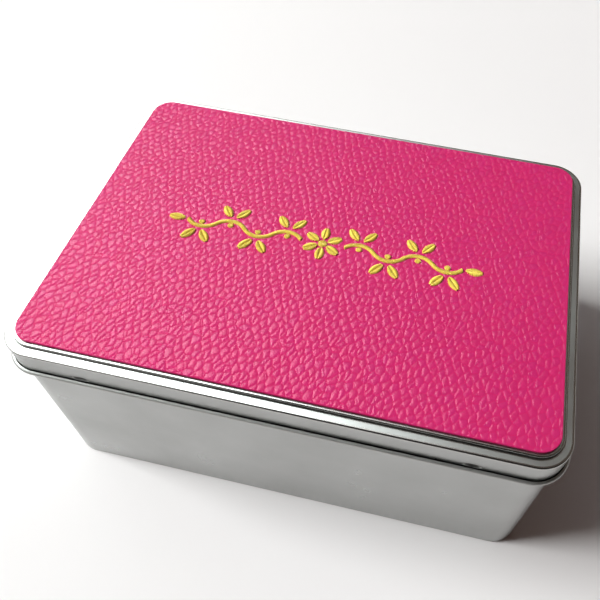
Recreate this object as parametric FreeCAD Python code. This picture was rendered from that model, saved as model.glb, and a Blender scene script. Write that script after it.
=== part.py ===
import FreeCAD, Part
import math
import os

# Slip-lid storage tin with an embroidered leather panel on its lid, in millimetres.
# The origin is the centre of the base's lowest face, +X runs along the length, -Y to the front, +Z up.
# Bent sheets are drawn as sections of reach and height. Reach is the distance outwards from the
# outer face of the body wall, so it is negative inside the tin.

# Tinplate shared by the wall, the base and the lid
sheet = 0.3
bend_chord = 0.4
overrun = 2.0

# Body wall
body_length = 196.8
body_width = 139.8
body_height = 84.4
body_corner_radius = 11.0
foot_bend_radius = 0.65
rim_curl_radius = 0.9
lock_seam_width = 4.0
lock_seam_rise = 0.5
lock_seam_end_gap = 1.2
lock_seam_line_width = 0.6
lock_seam_line_depth = 0.12

# Base panel, hooked into the foot of the wall
seam_width = 2.8
seam_clearance = 0.08
base_border = 6.0
base_step_height = 0.8
base_step_run = 0.9
base_bend_radius = 0.5

# Lid shell
lid_clearance = 0.9
rim_gap = 0.3
lid_depth = 11.6
lid_ledge_width = 3.18
lid_shoulder_radius = 0.65
plateau_height = 1.4
plateau_margin = 1.36
plateau_border = 3.0
plateau_draft = 0.2
plateau_bend_radius = 0.35
hem_curl_radius = 0.88

# Dimples pressed into the long sides of the lid skirt, which grip the wall
dimple_length = 7.5
dimple_height = 2.6
dimple_clearance = 0.2
dimple_lift = 0.1
dimple_spacing = 138.0

# Leather panel and the adhesive sheet under it
adhesive_thickness = 0.15
adhesive_inset = 1.0
leather_thickness = 1.1
leather_edge_bevel = 0.3

# Raised satin-stitch ornament: a flower between two leafy vines
stitch_rise = 0.6
stitch_gap = 0.35
petal_count = 6
petal_length = 6.2
petal_width = 3.4
button_radius = 1.7
vine_width = 1.6
vine_chord = 11.6
vine_sway = 2.6
vine_bends = 4
leaf_length = 7.0
leaf_width = 3.4
leaf_angle = 52.0
berry_radius = 1.1
leaf_chords = 4
dot_sides = 8

# Shares of the sizes that they follow
curl_lap_share = 0.35
pad_top_share = 0.5
leaf_lift_share = 0.25
leaf_pair_share = 0.33

QUARTER_TURN = 90
FULL_TURN = 360
SIDES = 4
CLOSE = 1e-6
UP = FreeCAD.Vector(0, 0, 1)

# Levels and reaches that several pieces share
seam_pitch = 2 * (sheet + seam_clearance)
hook_level = sheet / 2 + seam_pitch / 2
border_level = hook_level + seam_pitch
base_top = border_level + base_step_height + sheet / 2
ledge_top = body_height + rim_gap + sheet
plateau_top = ledge_top + plateau_height
leather_bottom = plateau_top + adhesive_thickness
leather_top = leather_bottom + leather_thickness
skirt_face = lid_clearance + sheet
dimple_depth = lid_clearance - dimple_clearance
plateau_face = skirt_face - lid_ledge_width
leather_reach = plateau_face - plateau_margin


def point(reach, height):
    """Point of a section, drawn in the XZ plane."""
    return FreeCAD.Vector(reach, 0, height)


def unit(start, end):
    """Direction from one point to another."""
    return (end - start).normalize()


def left_of(direction):
    """Direction a quarter turn to the left within the section plane."""
    return FreeCAD.Vector(-direction.z, 0, direction.x)


def bend_points(before, corner, after, radius, offset):
    """Points along a bend, at an offset to the left of the sheet's centre line."""
    way_in = unit(before, corner)
    way_out = unit(corner, after)
    turn = way_in.getAngle(way_out)
    sense = 1 if left_of(way_in).dot(way_out) > 0 else -1
    start = corner - way_in * radius * math.tan(turn / 2)
    centre = start + left_of(way_in) * radius * sense
    reach = radius - sense * offset
    spoke = left_of(way_in) * -sense * reach
    chords = max(1, round(turn * reach / bend_chord))
    axis = FreeCAD.Vector(0, -sense, 0)
    swings = [FreeCAD.Rotation(axis, math.degrees(turn) * step / chords) for step in range(chords + 1)]
    return [centre + swing.multVec(spoke) for swing in swings]


def sheet_side(path, offset):
    """Points along one side of a bent sheet, from its first end to its last."""
    first, last = path[0][0], path[-1][0]
    points = [first + left_of(unit(first, path[1][0])) * offset]
    for (before, _), (corner, radius), (after, _) in zip(path, path[1:], path[2:]):
        points += bend_points(before, corner, after, radius, offset)
    points.append(last + left_of(unit(path[-2][0], last)) * offset)
    return points


def sheet_section(path):
    """Section face of a bent sheet, from its centre line's corners and their bend radii."""
    outline = sheet_side(path, sheet / 2) + sheet_side(path, -sheet / 2)[::-1]
    pairs = zip(outline[-1:] + outline, outline)
    apart = [here for last, here in pairs if last.distanceToPoint(here) > CLOSE]
    return Part.Face(Part.makePolygon(apart + apart[:1]))


def carried_round(section):
    """Solid of a section carried once round the tin, straight along sides and turned at corners."""
    half_runs = (body_width / 2 - body_corner_radius, body_length / 2 - body_corner_radius)
    solids = []
    for side in range(SIDES):
        half_run = half_runs[side % 2]
        centre_x = half_runs[(side + 1) % 2]
        start = FreeCAD.Vector(centre_x + body_corner_radius, -half_run, 0)
        placed = section.translated(start)
        straight = placed.extrude(FreeCAD.Vector(0, 2 * half_run, 0))
        at_corner = placed.translated(FreeCAD.Vector(0, 2 * half_run, 0))
        corner = at_corner.revolve(FreeCAD.Vector(centre_x, half_run, 0), UP, QUARTER_TURN)
        for solid in (straight, corner):
            solid.rotate(FreeCAD.Vector(), UP, QUARTER_TURN * side)
            solids.append(solid)
    return solids[0].multiFuse(solids[1:]).removeSplitter()


def plate(reach, bottom, top):
    """Flat plate with the tin's outline at one reach."""
    half_length = body_length / 2 + reach
    half_width = body_width / 2 + reach
    block = Part.makeBox(2 * half_length, 2 * half_width, top - bottom,
                         FreeCAD.Vector(-half_length, -half_width, bottom))
    uprights = [edge for edge in block.Edges if abs(edge.tangentAt(0).z) > 1 - CLOSE]
    return block.makeFillet(body_corner_radius + reach, uprights)


def sagitta_radius(chord, rise):
    """Radius of the arc that rises by a given amount over a chord."""
    return (chord * chord / 4 + rise * rise) / (2 * rise)


def pad(outline, rise):
    """Low pad with flat faces: sloping sides from an outline up to a smaller flat top."""
    middle = sum(outline, FreeCAD.Vector()) / len(outline)
    crown = [middle + (corner - middle) * pad_top_share + UP * rise for corner in outline]
    rings = [outline, crown]
    for index, foot in enumerate(outline):
        rings.append([outline[index - 1], foot, crown[index], crown[index - 1]])
    faces = [Part.Face(Part.makePolygon(ring + ring[:1])) for ring in rings]
    return Part.Solid(Part.Shell(faces))


def leaf(length, width, rise):
    """Leaf-shaped pad lying along +X from the origin, with two arched edges."""
    radius = sagitta_radius(length, width / 2)
    half_spread = math.asin(length / (2 * radius))
    edge = []
    for step in range(leaf_chords):
        angle = half_spread * (2 * step / leaf_chords - 1)
        edge.append(FreeCAD.Vector(length / 2 + radius * math.sin(angle),
                                   radius * math.cos(angle) - radius + width / 2, 0))
    return pad(edge + [FreeCAD.Vector(length - corner.x, -corner.y, 0) for corner in edge], rise)


def dot(radius, rise):
    """Round pad centred on the origin."""
    turn = FreeCAD.Rotation(UP, FULL_TURN / dot_sides)
    outline = [FreeCAD.Vector(radius, 0, 0)]
    for _ in range(1, dot_sides):
        outline.append(turn.multVec(outline[-1]))
    return pad(outline, rise)


def body_wall():
    """Wrapped wall: hooked foot, curled rim and the folded joint up its back."""
    curl = rim_curl_radius - sheet / 2
    inner_fold = sheet / 2 - seam_width
    rim_level = body_height - sheet / 2
    return_edge = -2 * sheet - seam_clearance - seam_pitch / 2 + sheet / 2
    path = [
        (point(return_edge, sheet / 2 + seam_pitch), 0),
        (point(inner_fold, sheet / 2 + seam_pitch), seam_pitch / 2),
        (point(inner_fold, sheet / 2), seam_pitch / 2),
        (point(-sheet / 2, sheet / 2), foot_bend_radius - sheet / 2),
        (point(-sheet / 2, rim_level), curl),
        (point(-sheet / 2 - 2 * curl, rim_level), curl),
        (point(-sheet / 2 - 2 * curl, rim_level - 2 * curl), curl),
        (point(-sheet / 2 - curl + curl_lap_share * curl, rim_level - 2 * curl), 0),
    ]
    return with_lock_seam(carried_round(sheet_section(path)))


def with_lock_seam(wall):
    """The wall with its folded joint: a doubled strip inside and a fine pressed line outside."""
    low = base_top + lock_seam_end_gap
    high = body_height - 2 * rim_curl_radius - lock_seam_end_gap
    inner_face = body_width / 2 - sheet
    strip = Part.makeBox(lock_seam_width, lock_seam_rise + sheet / 2, high - low,
                         FreeCAD.Vector(-lock_seam_width / 2, inner_face - lock_seam_rise, low))
    line = Part.makeBox(lock_seam_line_width, lock_seam_line_depth + overrun, high - low,
                        FreeCAD.Vector(lock_seam_width / 2 - lock_seam_line_width,
                                       body_width / 2 - lock_seam_line_depth, low))
    return wall.fuse(strip).cut(line).removeSplitter()


def base_panel():
    """Base: its edge hooks into the wall's foot, and a pressed step stiffens the middle."""
    hook_fold = -sheet - seam_clearance - sheet / 2
    hook_edge = sheet / 2 - seam_width + seam_pitch / 2
    step_foot = -base_border
    step_head = step_foot - base_step_run
    join = step_head - base_bend_radius - sheet
    path = [
        (point(hook_edge, hook_level), 0),
        (point(hook_fold, hook_level), seam_pitch / 2),
        (point(hook_fold, border_level), seam_pitch / 2),
        (point(step_foot, border_level), base_bend_radius),
        (point(step_head, border_level + base_step_height), base_bend_radius),
        (point(join, border_level + base_step_height), 0),
    ]
    ring = carried_round(sheet_section(path))
    return ring.fuse(plate(join, base_top - sheet, base_top)).removeSplitter()


def lid_shell():
    """Drawn lid: raised plateau, ledge, skirt and outward curled hem, with grip dimples."""
    curl = hem_curl_radius - sheet / 2
    skirt = skirt_face - sheet / 2
    hem_level = ledge_top - lid_depth + sheet / 2
    step_head = plateau_face - sheet / 2 - plateau_draft
    join = step_head - plateau_border
    path = [
        (point(join, plateau_top - sheet / 2), 0),
        (point(step_head, plateau_top - sheet / 2), plateau_bend_radius),
        (point(step_head + plateau_draft, ledge_top - sheet / 2), plateau_bend_radius),
        (point(skirt, ledge_top - sheet / 2), lid_shoulder_radius - sheet / 2),
        (point(skirt, hem_level), curl),
        (point(skirt + 2 * curl, hem_level), curl),
        (point(skirt + 2 * curl, hem_level + 2 * curl), curl),
        (point(skirt + curl - curl_lap_share * curl, hem_level + 2 * curl), 0),
    ]
    ring = carried_round(sheet_section(path))
    shell = ring.fuse(plate(join, plateau_top - sheet, plateau_top)).removeSplitter()
    hem_top = ledge_top - lid_depth + 2 * hem_curl_radius
    return with_dimples(shell, hem_top + dimple_lift + dimple_height / 2)


def with_dimples(shell, level):
    """The lid with a lens-shaped dimple pressed inwards near each end of both long sides."""
    tool = leaf(dimple_length, dimple_height, dimple_depth)
    tool.translate(FreeCAD.Vector(-dimple_length / 2, 0, 0))
    tool.rotate(FreeCAD.Vector(), FreeCAD.Vector(1, 0, 0), -QUARTER_TURN)
    face = body_width / 2 + skirt_face
    for half_turns in range(2):
        for side in (-1, 1):
            taken = tool.translated(FreeCAD.Vector(side * dimple_spacing / 2, -face, level))
            added = taken.translated(FreeCAD.Vector(0, sheet, 0))
            for solid in (taken, added):
                solid.rotate(FreeCAD.Vector(), UP, 2 * QUARTER_TURN * half_turns)
            shell = shell.fuse(added).cut(taken)
    return shell.removeSplitter()


def lid_adhesive():
    """Thin adhesive sheet that holds the leather to the lid's plateau."""
    return plate(leather_reach - adhesive_inset, plateau_top, leather_bottom)


def leather_panel():
    """Leather panel with its upper cut edge softened."""
    panel = plate(leather_reach, leather_bottom, leather_top)
    upper = [edge for edge in panel.Edges if edge.BoundBox.ZMin > leather_top - CLOSE]
    return panel.makeChamfer(leather_edge_bevel, upper)


def vine_bend(start, side):
    """One arched length of vine with sloping sides, from a point on the axis along +X."""
    radius = sagitta_radius(vine_chord, vine_sway)
    spread = 2 * math.degrees(math.asin(vine_chord / (2 * radius)))
    half_foot = vine_width / 2
    half_crown = half_foot * pad_top_share
    corners = [point(radius - half_foot, 0), point(radius - half_crown, stitch_rise),
               point(radius + half_crown, stitch_rise), point(radius + half_foot, 0)]
    section = Part.Face(Part.makePolygon(corners + corners[:1]))
    bend = section.revolve(FreeCAD.Vector(), UP, spread)
    bend.rotate(FreeCAD.Vector(), UP, QUARTER_TURN * side - spread / 2)
    bend.translate(FreeCAD.Vector(start + vine_chord / 2, side * (vine_sway - radius), 0))
    return bend


def turned(solid, angle, x, y):
    """A stitched solid turned in plan and moved to a place on the leather."""
    solid.rotate(FreeCAD.Vector(), UP, angle)
    solid.translate(FreeCAD.Vector(x, y, 0))
    return solid


def vine():
    """Stitched solids of the vine to the right of the flower."""
    start = button_radius + petal_length + 2 * stitch_gap
    clear = vine_width / 2 + stitch_gap
    bends = []
    solids = []
    for index in range(vine_bends):
        side = 1 if index % 2 == 0 else -1
        foot = start + index * vine_chord
        crest = foot + vine_chord / 2
        bends.append(vine_bend(foot, side))
        leaf_foot = side * (vine_sway + clear + leaf_width * leaf_lift_share)
        apart = leaf_width * leaf_pair_share
        for lean, shift in ((leaf_angle, apart), (2 * QUARTER_TURN - leaf_angle, -apart)):
            blade = leaf(leaf_length, leaf_width, stitch_rise)
            solids.append(turned(blade, side * lean, crest + shift, leaf_foot))
        berry = dot(berry_radius, stitch_rise)
        solids.append(turned(berry, 0, crest, side * (vine_sway - clear - berry_radius)))
    stem = bends[0].multiFuse(bends[1:]).removeSplitter()
    end = start + vine_bends * vine_chord
    tip = leaf(leaf_length, leaf_width, stitch_rise)
    solids.append(turned(tip, 0, end + stitch_gap + vine_width / 2, 0))
    return [stem] + solids


def embroidery_thread():
    """The whole stitched ornament on the leather's top face."""
    solids = [dot(button_radius, stitch_rise)]
    for index in range(petal_count):
        angle = FULL_TURN / petal_count * (index + 1 / 2)
        petal = leaf(petal_length, petal_width, stitch_rise)
        petal.translate(FreeCAD.Vector(button_radius + stitch_gap, 0, 0))
        solids.append(turned(petal, angle, 0, 0))
    for solid in vine():
        solids.append(solid)
        solids.append(solid.mirror(FreeCAD.Vector(), FreeCAD.Vector(1, 0, 0)))
    ornament = Part.Compound(solids)
    ornament.translate(FreeCAD.Vector(0, 0, leather_top))
    return ornament


def main():
    """Build every piece and write one file for each."""
    os.makedirs("parts", exist_ok=True)
    for piece in (body_wall, base_panel, lid_shell, lid_adhesive, leather_panel, embroidery_thread):
        shape = piece()
        shape.exportStep("parts/" + piece.__name__ + ".step")
        state = "valid" if shape.isValid() else "not valid"
        print(piece.__name__, len(shape.Solids), "solids,", state, round(shape.Volume), "cubic mm")


main()
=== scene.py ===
"""Looks of a slip-lid storage tin whose lid is faced with an embroidered leather panel.

Everything is in metres: +X runs along the tin's length, -Y to the front and +Z up, and the tin
stands on its foot at the origin. Sections of bent sheet are drawn as reach and height, where
reach is the distance outwards from the outer face of the tin's wall.
"""

import logging
import math
from collections.abc import Iterable, Sequence
from dataclasses import dataclass, field
from enum import Enum

import bmesh
import bpy
import numpy as np
from mathutils import Matrix, Vector
from mathutils.kdtree import KDTree


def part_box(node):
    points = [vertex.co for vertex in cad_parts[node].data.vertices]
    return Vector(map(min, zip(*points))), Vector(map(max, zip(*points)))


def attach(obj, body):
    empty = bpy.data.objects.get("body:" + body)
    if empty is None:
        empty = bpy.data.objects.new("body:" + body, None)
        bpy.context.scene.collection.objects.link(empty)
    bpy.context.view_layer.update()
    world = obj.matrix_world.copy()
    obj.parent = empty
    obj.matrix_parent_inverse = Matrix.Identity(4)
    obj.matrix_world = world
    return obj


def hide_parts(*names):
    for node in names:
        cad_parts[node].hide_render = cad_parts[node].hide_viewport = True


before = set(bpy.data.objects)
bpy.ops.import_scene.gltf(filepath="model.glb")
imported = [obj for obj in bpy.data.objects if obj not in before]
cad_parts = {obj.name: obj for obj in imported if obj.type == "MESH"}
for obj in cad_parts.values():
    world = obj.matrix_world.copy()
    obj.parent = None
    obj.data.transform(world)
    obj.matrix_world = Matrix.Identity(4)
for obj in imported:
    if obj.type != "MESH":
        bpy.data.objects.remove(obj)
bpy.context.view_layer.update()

MM = 0.001
SAME_SPOT = 1e-7
METAL_CREASE = math.radians(40.0)
LOG = logging.getLogger("storage_tin")

Colour = tuple[float, float, float]
Spot = tuple[float, float, float]
Socket = bpy.types.NodeSocket


class Body(Enum):
    """Bodies of the tin that a piece can ride on."""

    TIN = "tin"
    LID = "lid"


class Slot(Enum):
    """Material slots that a piece can take its finish from."""

    TINPLATE = "tinplate"
    LEATHER = "leather"
    THREAD = "thread"


class Easing(Enum):
    """Courses that a mapped value can take between its ends."""

    STRAIGHT = "LINEAR"
    SMOOTH = "SMOOTHSTEP"


class Blend(Enum):
    """Ways to lay one colour over another."""

    COVER = "MIX"
    LIGHTEN = "ADD"
    GRADE = "OVERLAY"


class CellPart(Enum):
    """What can be read from a layer of pebble cells."""

    EDGE = "DISTANCE_TO_EDGE"
    MIDDLE = "F1"


def opaque(colour: Colour | Socket) -> tuple[float, ...] | Socket:
    """A colour with full alpha, or a socket as it is."""
    return colour if isinstance(colour, bpy.types.NodeSocket) else (*colour, 1.0)


class NodeBench:
    """A node tree being wired, with short calls that place nodes and join them."""

    def __init__(self, tree: bpy.types.NodeTree) -> None:
        """Start work on a tree."""
        self.tree = tree

    def place(self, kind: str, feeds: dict[str | int, object] | None = None,
              **settings: object) -> bpy.types.Node:
        """Place one node.

        Args:
            kind: Blender's name for the kind of node.
            feeds: a value, or a socket to link from, for each input by name or index.
            settings: the node's own properties.

        Returns:
            The placed node.
        """
        node = self.tree.nodes.new(kind)
        for name, value in settings.items():
            setattr(node, name, value)
        for key, value in (feeds or {}).items():
            self.feed(node.inputs[key], value)
        return node

    def feed(self, socket: Socket, value: object) -> None:
        """Link a socket into an input, or set the input's own value.

        Args:
            socket: the input.
            value: the socket to link from, or a plain value.
        """
        if isinstance(value, bpy.types.NodeSocket):
            self.tree.links.new(value, socket)
        else:
            socket.default_value = value

    def maths(self, operation: str, *values: float | Socket) -> Socket:
        """Place a Math node on some values and return its result."""
        node = self.place("ShaderNodeMath", dict(enumerate(values)), operation=operation)
        return node.outputs[0]

    def vectors(self, operation: str, *values: object) -> Socket:
        """Place a Vector Math node on some values and return its vector or its number."""
        node = self.place("ShaderNodeVectorMath", dict(enumerate(values)), operation=operation)
        return node.outputs["Value" if operation == "DOT_PRODUCT" else "Vector"]

    def ranged(self, value: Socket, low: float, high: float, start: float = 0.0, end: float = 1.0,
               easing: Easing = Easing.STRAIGHT) -> Socket:
        """Map a value from one range to another, held at the ends.

        Args:
            value: the value to map.
            low: where the mapped value starts to change.
            high: where it stops.
            start: the mapped value at the low end.
            end: the mapped value at the high end.
            easing: the course between them.

        Returns:
            The mapped value.
        """
        feeds = {0: value, 1: low, 2: high, 3: start, 4: end}
        return self.place("ShaderNodeMapRange", feeds, interpolation_type=easing.value).outputs[0]

    def tinted(self, share: float | Socket, first: Colour | Socket, second: Colour | Socket,
               blend: Blend = Blend.COVER) -> Socket:
        """Blend two colours by a share and return the colour."""
        feeds = {0: share, 6: opaque(first), 7: opaque(second)}
        return self.place("ShaderNodeMix", feeds, data_type="RGBA", blend_type=blend.value).outputs[2]

    def noise(self, place: Socket, size: float, detail: float = 2.0) -> bpy.types.Node:
        """Place a smooth noise with lumps of a given size and return its node."""
        return self.place("ShaderNodeTexNoise", {"Vector": place, "Scale": 1 / size, "Detail": detail})

    def carried(self, name: str) -> Socket:
        """A number that a piece's points carry under a name."""
        return self.place("ShaderNodeAttribute", attribute_name=name).outputs["Fac"]

    def bumped(self, height: Socket, depth: float) -> Socket:
        """Place a bump of a given depth on a height and return its normals."""
        return self.place("ShaderNodeBump", {"Distance": depth, "Height": height}).outputs[0]


class FinishGroup(NodeBench):
    """A shader group with named inputs and outputs, which several finishes place."""

    def __init__(self, name: str, takes: Iterable[str]) -> None:
        """Start a group that takes object coordinates and some named numbers.

        Args:
            name: the group's name.
            takes: names of its number inputs.
        """
        super().__init__(bpy.data.node_groups.new(name, "ShaderNodeTree"))
        self.tree.interface.new_socket("Vector", in_out="INPUT", socket_type="NodeSocketVector")
        for entry in takes:
            self.tree.interface.new_socket(entry, in_out="INPUT", socket_type="NodeSocketFloat")
        self.source = self.place("NodeGroupInput").outputs

    def gives(self, **results: Socket) -> None:
        """End the group with its named outputs."""
        for name in results:
            self.tree.interface.new_socket(name, in_out="OUTPUT", socket_type="NodeSocketFloat")
        self.place("NodeGroupOutput", dict(results))

    def used_in(self, bench: NodeBench, vector: Socket, **values: float | Socket) -> bpy.types.Node:
        """Place the group in a material.

        Args:
            bench: the material's bench.
            vector: object coordinates.
            values: a value for each named input.

        Returns:
            The group's node.
        """
        node = bench.place("ShaderNodeGroup", node_tree=self.tree)
        for name, value in {"Vector": vector, **values}.items():
            bench.feed(node.inputs[name], value)
        return node


class PieceTree(NodeBench):
    """A geometry tree with named inputs, which shapes one kind of piece."""

    def __init__(self, name: str) -> None:
        """Start a tree with a geometry input and output.

        Args:
            name: the tree's name.
        """
        super().__init__(bpy.data.node_groups.new(name, "GeometryNodeTree"))
        for way in ("INPUT", "OUTPUT"):
            self.tree.interface.new_socket("Geometry", in_out=way, socket_type="NodeSocketGeometry")
        self.source = self.place("NodeGroupInput")

    @property
    def start(self) -> Socket:
        """The geometry that the tree starts from."""
        return self.source.outputs["Geometry"]

    def takes(self, name: str, kind: str = "Float") -> Socket:
        """Add a named input of a kind such as Float, Int, Object or Material and return it."""
        self.tree.interface.new_socket(name, in_out="INPUT", socket_type="NodeSocket" + kind)
        return self.source.outputs[name]

    def gives(self, geometry: Socket) -> None:
        """End the tree with real geometry, shaded smooth, in the material that it is given.

        Args:
            geometry: what the tree has made.
        """
        material = self.takes("Material", "Material")
        real = self.place("GeometryNodeRealizeInstances", {"Geometry": geometry})
        smooth = self.place("GeometryNodeSetShadeSmooth", {"Geometry": real.outputs[0]})
        feeds = {"Geometry": smooth.outputs[0], "Material": material}
        dressed = self.place("GeometryNodeSetMaterial", feeds)
        self.place("NodeGroupOutput", {"Geometry": dressed.outputs[0]})

    def carried(self, name: str) -> Socket:
        """A number that the points carry under a name."""
        node = self.place("GeometryNodeInputNamedAttribute", {"Name": name}, data_type="FLOAT")
        return node.outputs["Attribute"]

    def random(self, low: float, high: float, seed: Socket) -> Socket:
        """A random number for each point.

        Args:
            low: the least that it can be.
            high: the most that it can be.
            seed: what fixes the draw.

        Returns:
            The number.
        """
        number = self.place("GeometryNodeInputIndex").outputs[0]
        feeds = {2: low, 3: high, "ID": number, "Seed": seed}
        return self.place("FunctionNodeRandomValue", feeds).outputs[1]

    def kept(self, geometry: Socket, name: str, value: Socket) -> Socket:
        """Keep a number for each point of some geometry.

        Args:
            geometry: the geometry.
            name: the name that the points carry the number under.
            value: the number.

        Returns:
            The geometry with its number.
        """
        feeds = {"Geometry": geometry, "Name": name, "Value": value}
        node = self.place("GeometryNodeStoreNamedAttribute", feeds, data_type="FLOAT", domain="POINT")
        return node.outputs[0]

    def moved(self, geometry: Socket, **offset: Socket) -> Socket:
        """Move the points of some geometry.

        Args:
            geometry: the geometry.
            offset: how far the points move along X, Y or Z.

        Returns:
            The geometry with its points moved.
        """
        way = self.place("ShaderNodeCombineXYZ", dict(offset)).outputs[0]
        return self.place("GeometryNodeSetPosition", {"Geometry": geometry, "Offset": way}).outputs[0]

    def shape(self, piece: bpy.types.Object, values: dict[str, object]) -> None:
        """Run the tree on a piece and keep the result as the piece's plain mesh.

        Args:
            piece: the object whose mesh the tree starts from.
            values: a value for each named input.
        """
        modifier = piece.modifiers.new(self.tree.name, "NODES")
        modifier.node_group = self.tree
        for entry in self.tree.interface.items_tree:
            if entry.name in values:
                modifier[entry.identifier] = values[entry.name]
        evaluated = piece.evaluated_get(bpy.context.evaluated_depsgraph_get())
        mesh = bpy.data.meshes.new_from_object(evaluated)
        piece.modifiers.clear()
        mesh.name = piece.name
        piece.data = mesh


def new_piece(name: str, points: Sequence, edges: Sequence = (),
              faces: Sequence = ()) -> bpy.types.Object:
    """Make an object at the origin.

    Args:
        name: the object's name.
        points: places of its points.
        edges: pairs of points.
        faces: loops of points.

    Returns:
        The object.
    """
    mesh = bpy.data.meshes.new(name)
    mesh.from_pydata(points, edges, faces)
    piece = bpy.data.objects.new(name, mesh)
    bpy.context.scene.collection.objects.link(piece)
    return piece


def store(piece: bpy.types.Object, name: str, values: Sequence[float]) -> None:
    """Keep one number for each point of a piece's mesh under a name."""
    attribute = piece.data.attributes.new(name, "FLOAT", "POINT")
    attribute.data.foreach_set("value", np.asarray(values, np.float32))


def fit(piece: bpy.types.Object, body: Body, slot: Slot, *nodes: str) -> None:
    """Let a finished piece ride on a body, in the place of some frame nodes.

    Args:
        piece: the finished piece.
        body: the body that carries it.
        slot: not used.
        nodes: the frame nodes that it stands for.
    """
    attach(piece, body.value)
    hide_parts(*nodes)
    LOG.info("%s rides on the %s: %d faces", piece.name, body.value, len(piece.data.polygons))


def mottle_group(clear: float = 0.3, full: float = 0.7) -> FinishGroup:
    """Build the group for soft cloudy variation of a given size.

    Args:
        clear: noise below which there is no cloud.
        full: noise above which the cloud is full.

    Returns:
        The group, which gives a value from 0 to 1.
    """
    group = FinishGroup("soft_mottle", ["Size"])
    scale = group.maths("DIVIDE", 1.0, group.source["Size"])
    feeds = {"Vector": group.source["Vector"], "Scale": scale, "Detail": 4.0}
    noise = group.place("ShaderNodeTexNoise", feeds)
    group.gives(Value=group.ranged(noise.outputs[0], clear, full))
    return group


def scuff_group(clear: float = 0.6, full: float = 0.72) -> FinishGroup:
    """Build the group for fine handling scuffs of a given length and width.

    Args:
        clear: noise below which there is no scuff.
        full: noise above which the scuff is full.

    Returns:
        The group, which gives a mask.
    """
    group = FinishGroup("fine_scuffs", ["Length", "Width"])
    along = group.maths("DIVIDE", 1.0, group.source["Length"])
    across = group.maths("DIVIDE", 1.0, group.source["Width"])
    stretch = group.place("ShaderNodeCombineXYZ", {"X": along, "Y": across, "Z": across})
    drawn = group.vectors("MULTIPLY", group.source["Vector"], stretch.outputs[0])
    noise = group.noise(drawn, 1.0)
    group.gives(Mask=group.ranged(noise.outputs[0], clear, full))
    return group


@dataclass(frozen=True)
class SharedEffects:
    """Shader groups that more than one finish places."""

    mottle: FinishGroup = field(default_factory=mottle_group)
    scuffs: FinishGroup = field(default_factory=scuff_group)


@dataclass(frozen=True)
class PebbleGrain:
    """Pebble grain of the leather, used both to shape the panel and to finish its surface.

    Long grooves, which lean to the left of the panel's short side, part the leather into columns.
    Shorter ones, which lean to the right, cut the columns into pebbles.
    """

    column: float = 2.9 * MM
    spacing: float = 2.5 * MM
    left_lean: float = math.radians(22.0)
    right_lean: float = math.radians(44.0)
    wander: float = 0.7 * MM
    wander_size: float = 5.5 * MM
    drift: float = 2.5 * MM
    drift_size: float = 60.0 * MM
    unevenness: float = 0.78
    run_reach: float = 0.17
    run_share: float = 0.45
    run_breaks: tuple[float, float] = (0.36, 0.52)
    facet_size: float = 1.15 * MM
    facet_share: float = 0.22

    def lay(self, bench: NodeBench, place: Socket, shoulder: float) -> tuple[Socket, Socket]:
        """Lay the grain out over the leather.

        Args:
            bench: a material or a geometry tree.
            place: coordinates on the leather, in metres.
            shoulder: width of the pebbles' rounded edges, in cells.

        Returns:
            The grain's height, from 0 in a groove to about 1 on a pebble, and a random tone for
            each pebble.
        """
        flat = bench.vectors("MULTIPLY", place, (1.0, 1.0, 0.0))
        moved = self._shifted(bench, flat, flat, self.drift, self.drift_size)
        moved = self._shifted(bench, moved, flat, self.wander, self.wander_size)
        row = self._across(bench, moved, self.left_lean, self.column)
        place_in_row = self._across(bench, moved, -self.right_lean, self.spacing)
        cells = bench.place("ShaderNodeCombineXYZ", {"X": row, "Y": place_in_row}).outputs[0]
        edge = self._cells(bench, cells, 1.0, CellPart.EDGE).outputs["Distance"]
        inward = bench.ranged(edge, 0.0, shoulder)
        dome = bench.maths("MULTIPLY", inward, bench.maths("SUBTRACT", 2.0, inward))
        fold = bench.maths("PINGPONG", bench.maths("ADD", row, 0.5 - self.unevenness / 2), 0.5)
        broken = bench.noise(flat, self.wander_size).outputs[0]
        deep = bench.ranged(broken, *self.run_breaks, 0.0, self.run_share)
        near_run = bench.ranged(fold, 0.0, self.run_reach, 1.0, 0.0, Easing.SMOOTH)
        cut = bench.maths("SUBTRACT", 1.0, bench.maths("MULTIPLY", near_run, deep))
        facets = self._cells(bench, moved, 1 / self.facet_size, CellPart.EDGE)
        faceted = bench.maths("MULTIPLY_ADD", facets.outputs["Distance"], self.facet_share,
                              1.0 - self.facet_share / 2)
        height = bench.maths("MULTIPLY", bench.maths("MULTIPLY", dome, cut), faceted)
        return height, self._cells(bench, cells, 1.0, CellPart.MIDDLE).outputs["Color"]

    @staticmethod
    def _across(bench: NodeBench, place: Socket, lean: float, spacing: float) -> Socket:
        """Number of lines of one leaning family that lie to the left of a place."""
        across = (math.cos(lean) / spacing, math.sin(lean) / spacing, 0.0)
        return bench.vectors("DOT_PRODUCT", place, across)

    @staticmethod
    def _shifted(bench: NodeBench, place: Socket, at: Socket, reach: float, size: float) -> Socket:
        """Shift a place by a smooth noise.

        Args:
            bench: a material or a geometry tree.
            place: the place to shift.
            at: the place where the noise is read.
            reach: how far the noise shifts it.
            size: size of the noise's lumps.

        Returns:
            The shifted place.
        """
        noise = bench.noise(at, size, 1.0)
        way = bench.vectors("SUBTRACT", noise.outputs["Color"], (0.5, 0.5, 0.5))
        return bench.vectors("MULTIPLY_ADD", way, (2 * reach, 2 * reach, 0.0), place)

    def _cells(self, bench: NodeBench, cells: Socket, scale: float, part: CellPart) -> bpy.types.Node:
        """Place one flat layer of pebble cells and return its node."""
        feeds = {"Vector": cells, "Scale": scale, "Randomness": self.unevenness}
        return bench.place("ShaderNodeTexVoronoi", feeds, voronoi_dimensions="2D", feature=part.value)


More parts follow.
